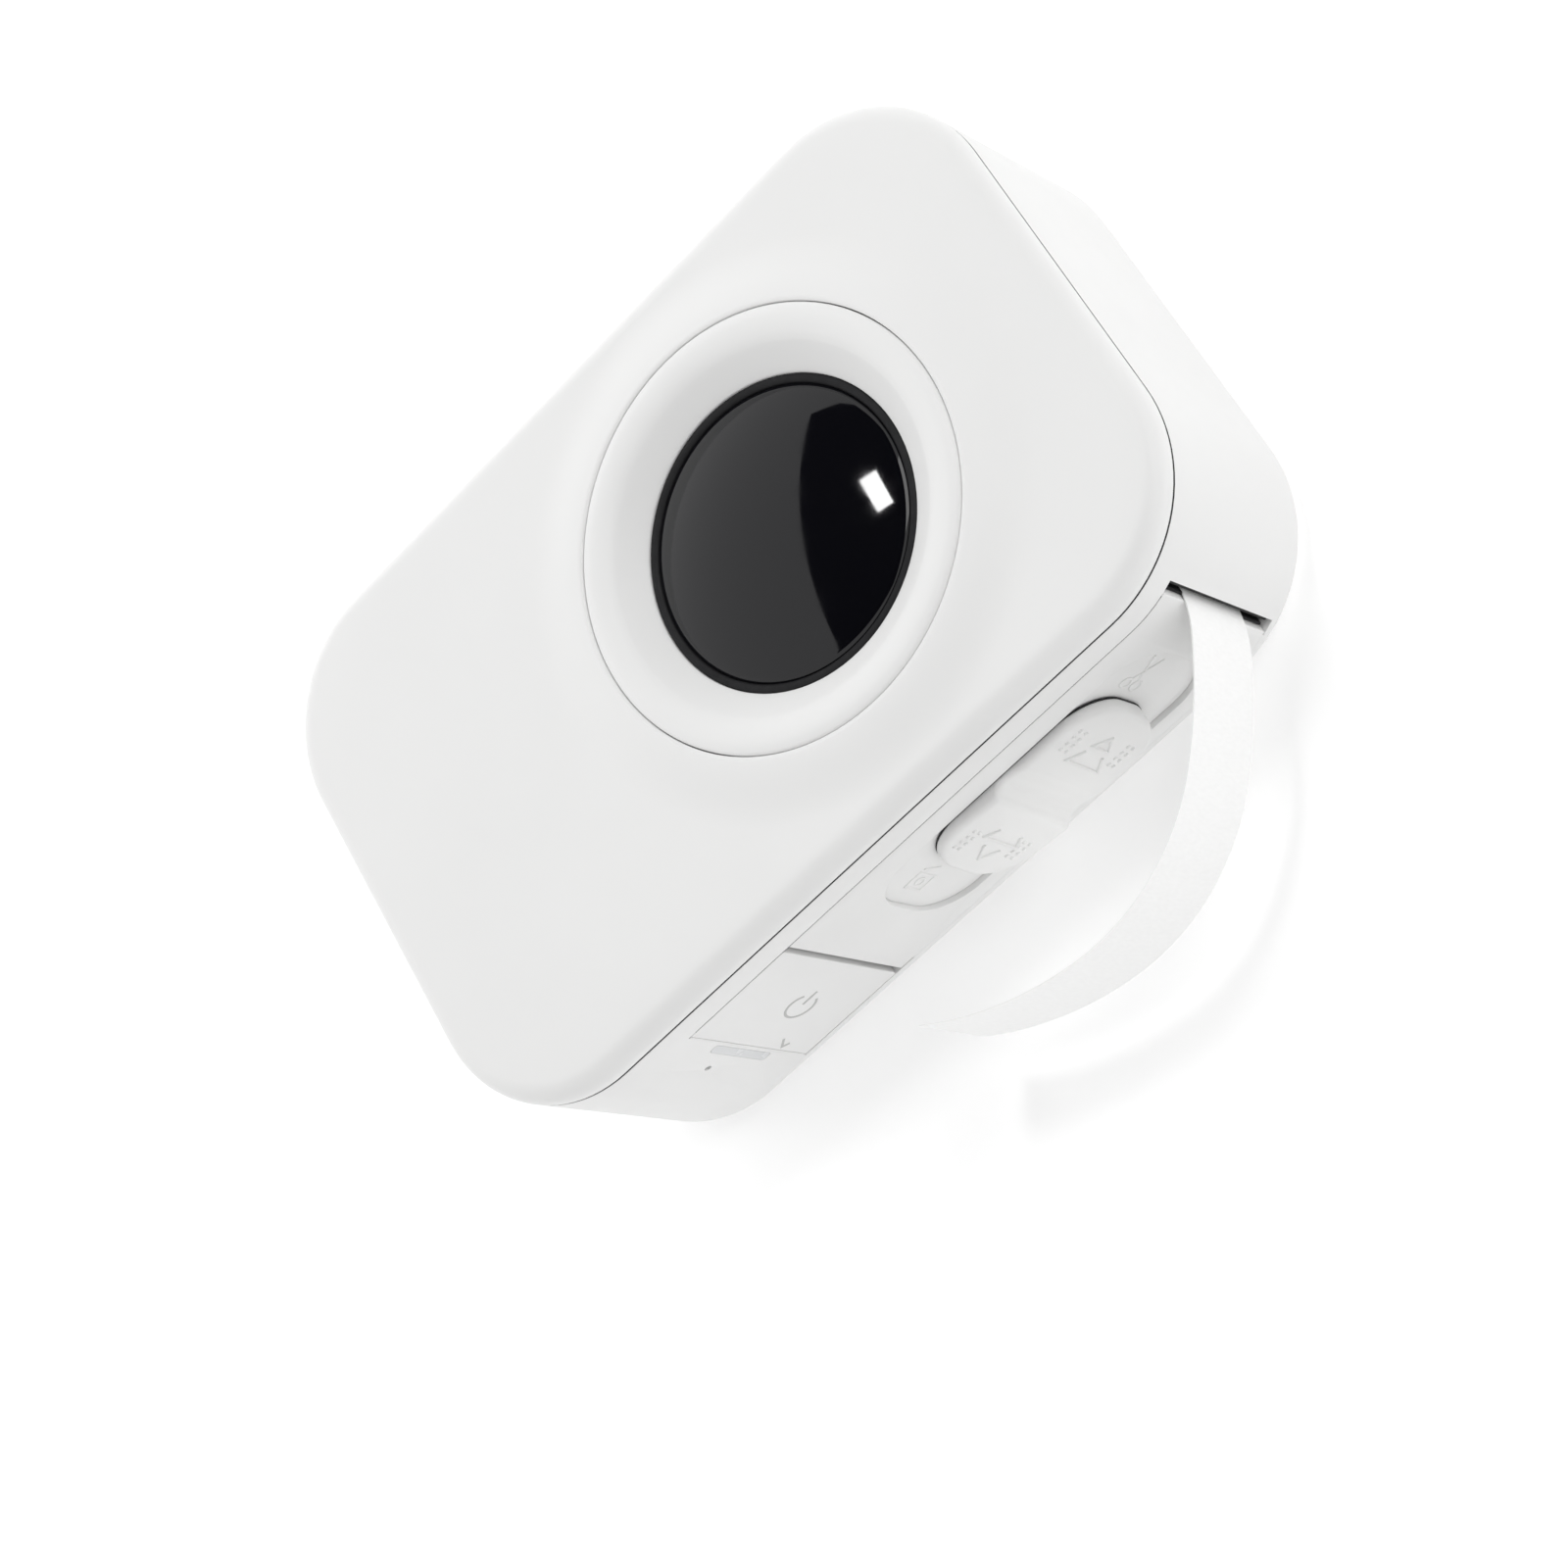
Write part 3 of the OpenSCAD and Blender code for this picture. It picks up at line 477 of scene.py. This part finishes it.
def make_knuckles():
    """The cover's two hinge knuckles, each with the web that joins it to the cover's edge."""
    n, r = 40, KNUCKLE_R * MM
    hinge_x, hinge_z = HINGE.x / MM, HINGE.z / MM
    for k, y in enumerate(KNUCKLE_YS):
        ends = [y - KNUCKLE_L / 2, y + KNUCKLE_L / 2]
        points = [(HINGE.x + r * math.cos(math.tau * i / n), end * MM,
                   HINGE.z + r * math.sin(math.tau * i / n)) for end in ends for i in range(n)]
        faces = ring_faces(2, n, False) + [tuple(range(n)), tuple(range(n, 2 * n))]
        add_mesh(f"cover_knuckle_{k}", points, faces, "shell_plastic", "lid", sharp=40)
        make_block(f"cover_knuckle_web_{k}", (hinge_x - 0.25, ends[0] + 0.05, hinge_z + 0.1),
                   (hinge_x + 0.65, ends[1] - 0.05, COVER_BASE / MM + 0.3), "shell_plastic", "lid")


# ---- Knob and marks on the control side ----

KNOB_Z = (knob_low.z + knob_high.z) / 2
KNOB_HALF = (knob_high.z - knob_low.z) / 2
KNOB_CORNER = 6.5 * MM
KNOB_LEAN = math.tan(math.radians(6))
# Distance from the knob's lower end, and height above the side of the case, in mm
KNOB_PROFILE = [(0, 1.3), (12.2, 2.36), (12.7, 2.3), (13.3, 1.55), (14.3, 1.02), (16, 1.18),
                (18, 1.68), (31, 1.72)]
WELL_X = HALF_W - 0.8 * MM


def knob_surface(y, z):
    """The lower pad is a ramp up to the crest, the upper pad is hollowed just past it, and both lean."""
    u = (y - knob_low.y) / MM
    h = KNOB_PROFILE[0][1]
    for (u0, h0), (u1, h1) in zip(KNOB_PROFILE, KNOB_PROFILE[1:]):
        if u > u0:
            h = h0 + (h1 - h0) * min((u - u0) / (u1 - u0), 1)
    return HALF_W + h * MM + KNOB_LEAN * (KNOB_Z - z)


def make_knob():
    """The knob's outer skin with rounded edges, its flat underside, and the stem to the carriage."""
    edge = 0.75 * MM
    mid_y = (knob_low.y + knob_high.y) / 2
    half_l = (knob_high.y - knob_low.y) / 2 - 0.02 * MM

    def depth_inside(y, z):
        qy, qz = abs(y - mid_y) - half_l + KNOB_CORNER, abs(z - KNOB_Z) - KNOB_HALF + KNOB_CORNER
        return KNOB_CORNER - math.hypot(max(qy, 0), max(qz, 0)) - min(max(qy, qz), 0)

    def half_width(y):
        past = max(0, abs(y - mid_y) - half_l + KNOB_CORNER)
        return KNOB_HALF - KNOB_CORNER + math.sqrt(max(0, KNOB_CORNER ** 2 - past ** 2))

    ends = [half_l * math.sin(math.radians(3 * k)) for k in range(31)]
    rows = sorted({round(mid_y + s * e, 7) for e in ends for s in (-1, 1)}
                  | {round(knob_low.y + k * 0.3 * MM, 7) for k in range(39, 62)})
    columns = [math.sin(math.radians(4.5 * k)) for k in range(-20, 21)]
    n, m = len(rows), len(columns)
    points = []
    for y in rows:
        for c in columns:
            z = KNOB_Z + c * half_width(y)
            d = min(edge, max(0, depth_inside(y, z)))
            drop = edge - math.sqrt(edge ** 2 - (edge - d) ** 2)
            points.append((knob_surface(y, z) - drop, y, z))
    faces = [(i * m + j, i * m + j + 1, (i + 1) * m + j + 1, (i + 1) * m + j)
             for i in range(n - 1) for j in range(m - 1)]
    rim = (list(range(m)) + [i * m + m - 1 for i in range(1, n)]
           + [(n - 1) * m + j for j in range(m - 2, -1, -1)] + [i * m for i in range(n - 2, 0, -1)])
    base = len(points)
    points += [(knob_low.x + 2.5 * MM, points[k][1], points[k][2]) for k in rim]
    faces += [(rim[k], rim[(k + 1) % len(rim)], base + (k + 1) % len(rim), base + k)
              for k in range(len(rim))]
    faces.append(tuple(range(base, len(points))))
    stem = len(points)
    y0, y1 = knob_low.y + 10 * MM, knob_low.y + 16.4 * MM
    z0, z1 = KNOB_Z - 4 * MM, KNOB_Z + 4 * MM
    points += [(x, y, z) for x in (knob_low.x, knob_low.x + 2.6 * MM) for y in (y0, y1) for z in (z0, z1)]
    faces += [tuple(stem + k for k in f) for f in ((0, 1, 3, 2), (4, 5, 7, 6), (0, 1, 5, 4), (2, 3, 7, 6),
                                                   (0, 2, 6, 4), (1, 3, 7, 5))]
    add_mesh("knob_moulding", points, faces, "shell_plastic", "slider", ["slide_knob"], sharp=40)


def make_knob_groove_shade():
    """Thin dark plate under the knob, painted as the shade in the groove round it. It shows as a line along
    the knob's upper side.
    """
    shift = Vector((0.15, 0.3)) * MM
    corners = [(knob_high.y, knob_high.z, 0), (knob_low.y, knob_high.z, 90),
               (knob_low.y, KNOB_Z - KNOB_HALF, 180), (knob_high.y, KNOB_Z - KNOB_HALF, 270)]
    outline = []
    for y, z, start in corners:
        sy, sz = (1 if y > knob_low.y else -1), (1 if z > KNOB_Z else -1)
        for i in range(13):
            a = math.radians(start + 7.5 * i)
            outline.append((y - sy * KNOB_CORNER + KNOB_CORNER * math.cos(a) + shift.x,
                            z - sz * KNOB_CORNER + KNOB_CORNER * math.sin(a) + shift.y))
    n = len(outline)
    # The dark plate is painted shade, not a part of the slider
    points = [(WELL_X + x * MM, y, z) for x in (0.15, 0.3) for y, z in outline]
    faces = ring_faces(2, n, False) + [tuple(range(n)), tuple(range(n, 2 * n))]
    add_mesh("knob_groove_painted_shade", points, faces, "gasket_rubber", "slider")


def raised_line(name, path, surface, width, height, slot, body, closed=False):
    """A rounded rib along a path of (y, z) millimetres on a surface x(y, z)."""
    path = [Vector(p) * MM for p in path]
    n = len(path)
    section = [(-0.5, -0.35), (-0.42, 0.55), (-0.18, 0.95), (0.18, 0.95), (0.42, 0.55), (0.5, -0.35)]
    points = []
    for i, p in enumerate(path):
        before = path[i - 1] if closed or i else p
        after = path[(i + 1) % n] if closed or i < n - 1 else p
        a = (p - before).normalized() if (p - before).length else (after - p).normalized()
        b = (after - p).normalized() if (after - p).length else a
        t = (a + b).normalized()
        side = Vector((-t.y, t.x)) / max(0.5, t.dot(b))
        for s, h in section:
            q = p + side * s * width * MM
            points.append((surface(q.x, q.y) + h * height * MM, q.x, q.y))
    k = len(section)
    faces = ring_faces(n, k, closed)
    if not closed:
        faces += [tuple(range(k)), tuple(range((n - 1) * k, n * k))]
    add_mesh(name, points, faces, slot, body, sharp=50)


def arc(cy, cz, r, start, end, step=12):
    """Points (y, z) along an arc, from one angle to another in degrees."""
    n = max(2, round(abs(end - start) / step))
    return [(cy + r * math.cos(math.radians(start + (end - start) * k / n)),
             cz + r * math.sin(math.radians(start + (end - start) * k / n))) for k in range(n + 1)]


def raised_dot(name, y, z, surface, r, height):
    """A low round dot on a surface x(y, z)."""
    n = 12
    foot = surface(y * MM, z * MM)
    points = [(foot + height * MM, y * MM, z * MM)]
    rows = [(0.55, 0.85), (0.9, 0.35), (1.0, -0.6)]
    for share, h in rows:
        points += [(foot + h * height * MM, (y + share * r * math.cos(math.tau * k / n)) * MM,
                    (z + share * r * math.sin(math.tau * k / n)) * MM) for k in range(n)]
    faces = [(0, 1 + k, 1 + (k + 1) % n) for k in range(n)]
    faces += [tuple(1 + i for i in face) for face in ring_faces(len(rows), n, False)]
    faces.append(tuple(range(len(points) - n, len(points))))
    add_mesh(name, points, faces, "shell_plastic", "slider", sharp=60)


def make_knob_marks():
    """Arrows and two groups of raised dots on each pad."""
    def rib(name, path, closed=False):
        raised_line(name, path, knob_surface, 0.45, 0.28, "shell_plastic", "slider", closed)

    rib("knob_upper_bar", [(26.0, 14.5), (23.8, 12.8), (23.8, 19.7), (26.0, 18.1)])
    rib("knob_upper_arrow", [(27.1, 14.5), (29.1, 16.3), (27.1, 18.0)], True)
    rib("knob_lower_bar", [(11.0, 14.0), (9.2, 12.9), (9.2, 19.6), (11.0, 18.5)])
    rib("knob_lower_arrow", [(7.9, 14.6), (5.6, 16.3), (7.9, 18.0)])
    # Each group's name, then its lowest and highest y and z
    groups = (("upper_high", 24.4, 28.8, 20.6, 22.6), ("upper_low", 25.0, 29.4, 11.0, 12.8),
              ("lower_high", 5.5, 9.9, 20.5, 22.3), ("lower_low", 7.0, 11.0, 11.0, 13.0))
    for name, y0, y1, z0, z1 in groups:
        for i in range(4):
            for j in range(2):
                raised_dot(f"knob_dot_{name}_{i}_{j}", y0 + 0.5 + (y1 - y0 - 1) * i / 3,
                           z0 + 0.4 + (z1 - z0 - 0.8) * j, knob_surface, 0.34, 0.25)


def make_icons():
    """Scissors and a label roll in the well, and the power symbol and a tick on the key."""
    def floor(y, z):
        return WELL_X

    def wall(y, z):
        return HALF_W

    def on_well(name, path, closed=False):
        raised_line(name, path, floor, 0.36, 0.13, "shell_plastic", "case", closed)

    y, z = 38.2, 18.9
    for side in (-1, 1):
        on_well(f"scissors_blade_{side + 1}", [(y - 1.5, z - side * 0.75), (y + 2.7, z + side * 1.2)])
        on_well(f"scissors_ring_{side + 1}", arc(y - 2.3, z + side * 1.15, 0.85, 0, 330, 30), True)
    y, z = -2.0, 17.8
    box = [(y - 1.7, z - 1.7), (y + 1.2, z - 1.7), (y + 1.2, z + 1.7), (y - 1.7, z + 1.7)]
    on_well("roll_outline", box, True)
    on_well("roll_ring", arc(y - 0.25, z, 0.7, 0, 330, 30), True)
    on_well("roll_lid", [(y + 1.9, z + 1.6), (y + 2.9, z - 0.9)])

    def on_key(name, path):
        raised_line(name, path, wall, 0.42, 0.07, "frame_plastic", "power_key")

    y, z = -26.6, 15.9
    on_key("power_mark_ring", arc(y, z, 2.3, 38, 322, 8))
    on_key("power_mark_bar", [(y + 0.4, z), (y + 3.1, z)])
    on_key("tick_mark", [(-33.6, 10.2), (-34.5, 10.9), (-33.0, 12.2)])


# ---- Label strip ----

def arc_path(x, y, heading, segments, step):
    """Points along joined arcs; a segment is (length, turn in degrees)."""
    out = [(x, y)]
    for length, turn in segments:
        n = max(1, math.ceil(length / step))
        for _ in range(n):
            heading += turn / n / 2
            x += length / n * math.cos(math.radians(heading))
            y += length / n * math.sin(math.radians(heading))
            heading += turn / n / 2
            out.append((x, y))
    return out


# Where the strip leaves the blade: x and y in mm, and its heading in degrees. Then its arcs.
LABEL_START = (34.5, 50.15, 2.8)
LABEL_ARCS = [(10, -33), (16, -14.5), (28, -50.5), (23.5, -27)]


def make_label():
    """The strip of label that curls out of the slot, as two faces a paper's thickness apart."""
    path = [Vector((x * MM, y * MM)) for x, y in arc_path(*LABEL_START, LABEL_ARCS, 0.6)]
    half = 0.09 * MM
    across = 10
    rows = []
    for i, p in enumerate(path):
        t = (path[min(i + 1, len(path) - 1)] - path[max(i - 1, 0)]).normalized()
        side = Vector((-t.y, t.x))
        for s in (1, -1):
            rows.append([(p.x + side.x * half * s, p.y + side.y * half * s,
                          label_low.z + (label_high.z - label_low.z) * k / across)
                         for k in range(across + 1)])
    n = across + 1
    points = [q for row in rows for q in row]
    faces = []
    for i in range(len(path) - 1):
        a, b = 2 * i * n, 2 * (i + 1) * n
        for k in range(across):
            faces.append((a + k, a + k + 1, b + k + 1, b + k))
            faces.append((a + n + k, b + n + k, b + n + k + 1, a + n + k + 1))
        faces.append((a, b, b + n, a + n))
        faces.append((a + across, a + n + across, b + n + across, b + across))
    for a in (0, 2 * (len(path) - 1) * n):
        faces += [(a + k, a + n + k, a + n + k + 1, a + k + 1) for k in range(across)]
    add_mesh("label_strip", points, faces, "label_paper", "case", ["printed_label"], 60)


# ---- Stage, light and camera ----

def make_floor():
    """A pale floor that glows a little, so that it comes out white."""
    size = 1.6
    mesh = bpy.data.meshes.new("floor")
    mesh.from_pydata([(-size, -size, 0), (size, -size, 0), (size, size, 0), (-size, size, 0)], [],
                     [(0, 1, 2, 3)])
    m = new_material("pale_floor", (0.95, 0.95, 0.95), 0.8, Emission_Color=(1, 1, 1, 1),
                     Emission_Strength=0.21)
    vary_roughness(m, noise(m, 40, 3), 0.7, 0.9)
    mesh.materials.append(m)
    floor = bpy.data.objects.new("floor", mesh)
    floor.location.z = cad_low.z - 0.1 * MM
    scene.collection.objects.link(floor)


def make_flag():
    """A black card over the camera side. The right half of the lens mirrors it."""
    along = Vector((-0.8, 0.3, 0)).normalized()
    across = Vector((along.y, -along.x, 0))
    edge = Vector((-0.31, -0.12, 0.75))
    corners = [edge + along * 0.65, edge - along * 0.75,
               edge - along * 0.75 + across * 0.75, edge + along * 0.65 + across * 0.75]
    mesh = bpy.data.meshes.new("black_flag")
    mesh.from_pydata([tuple(c) for c in corners], [], [(0, 1, 2, 3)])
    mesh.materials.append(new_material("black_cloth", (0.002, 0.002, 0.002), 0.9, Specular_IOR_Level=0.0))
    flag = bpy.data.objects.new("black_flag", mesh)
    flag.visible_camera = False
    scene.collection.objects.link(flag)


def area_light(name, place, target, size, power, spin=0.0, size_y=None, mirrored=True):
    data = bpy.data.lights.new(name, "AREA")
    data.shape = "RECTANGLE"
    data.size = size
    data.size_y = size_y or size
    data.energy = power
    lamp = bpy.data.objects.new(name, data)
    lamp.visible_glossy = mirrored
    lamp.visible_camera = False
    back = (Vector(place) - Vector(target)).normalized()
    lamp.matrix_world = (Matrix.Translation(place)
                         @ back.to_track_quat("Z", "Y").to_matrix().to_4x4()
                         @ Matrix.Rotation(math.radians(spin), 4, "Z"))
    scene.collection.objects.link(lamp)


def make_lights():
    """White surroundings and four soft lights. Only two of the lights show in the lens."""
    world = bpy.data.worlds.new("studio")
    world.use_nodes = True
    world.node_tree.nodes["Background"].inputs["Color"].default_value = (1, 1, 1, 1)
    world.node_tree.nodes["Background"].inputs["Strength"].default_value = 0.87
    scene.world = world
    area_light("end_softbox", (0.0, 0.8, 0.75), (0, 0, 0.03), 0.6, 2.7)
    area_light("left_softbox", (-0.78, -0.55, 0.55), (0, 0, 0.03), 1.1, 5.2, mirrored=False)
    area_light("curl_fill", (0.0585, 0.013, 0.015), (0.043, 0.013, 0.013), 0.026, 0.0005,
               size_y=0.01, mirrored=False)
    area_light("top_softbox", (-0.165, 0.156, 0.597), (0.013, 0.021, 0.04), 0.127, 0.62, -53.7, 0.057)


CAMERA_AIM = Vector((26.0, -3.6, 34.7)) * MM
CAMERA_DISTANCE = 440.6 * MM
CAMERA_AZIMUTH = 38.4
CAMERA_ELEVATION = 53.6
CAMERA_ROLL = -75.9
CAMERA_LENS = 81.2


def make_camera():
    a, e = math.radians(CAMERA_AZIMUTH), math.radians(CAMERA_ELEVATION)
    back = Vector((math.cos(a) * math.cos(e), math.sin(a) * math.cos(e), math.sin(e)))
    level = back.to_track_quat("Z", "Y").to_matrix().to_4x4()
    data = bpy.data.cameras.new("camera")
    data.lens = CAMERA_LENS
    data.sensor_width = 36
    camera = bpy.data.objects.new("camera", data)
    camera.matrix_world = (Matrix.Translation(CAMERA_AIM + back * CAMERA_DISTANCE) @ level
                           @ Matrix.Rotation(math.radians(CAMERA_ROLL), 4, "Z"))
    scene.collection.objects.link(camera)
    scene.camera = camera


scene.view_settings.view_transform = "Standard"
make_camera()
make_floor()
make_flag()
make_lights()
dress_cad_nodes()
for name, width in (("back_shell", 0.24), ("side_panel", 0.12), ("power_key", 0.2)):
    soften_edges(name, width * MM)
make_cover()
make_seams()
make_knuckles()
make_slit_shades_and_key_foot()
make_window()
make_lens()
make_knob()
make_knob_groove_shade()
make_knob_marks()
make_icons()
make_label()
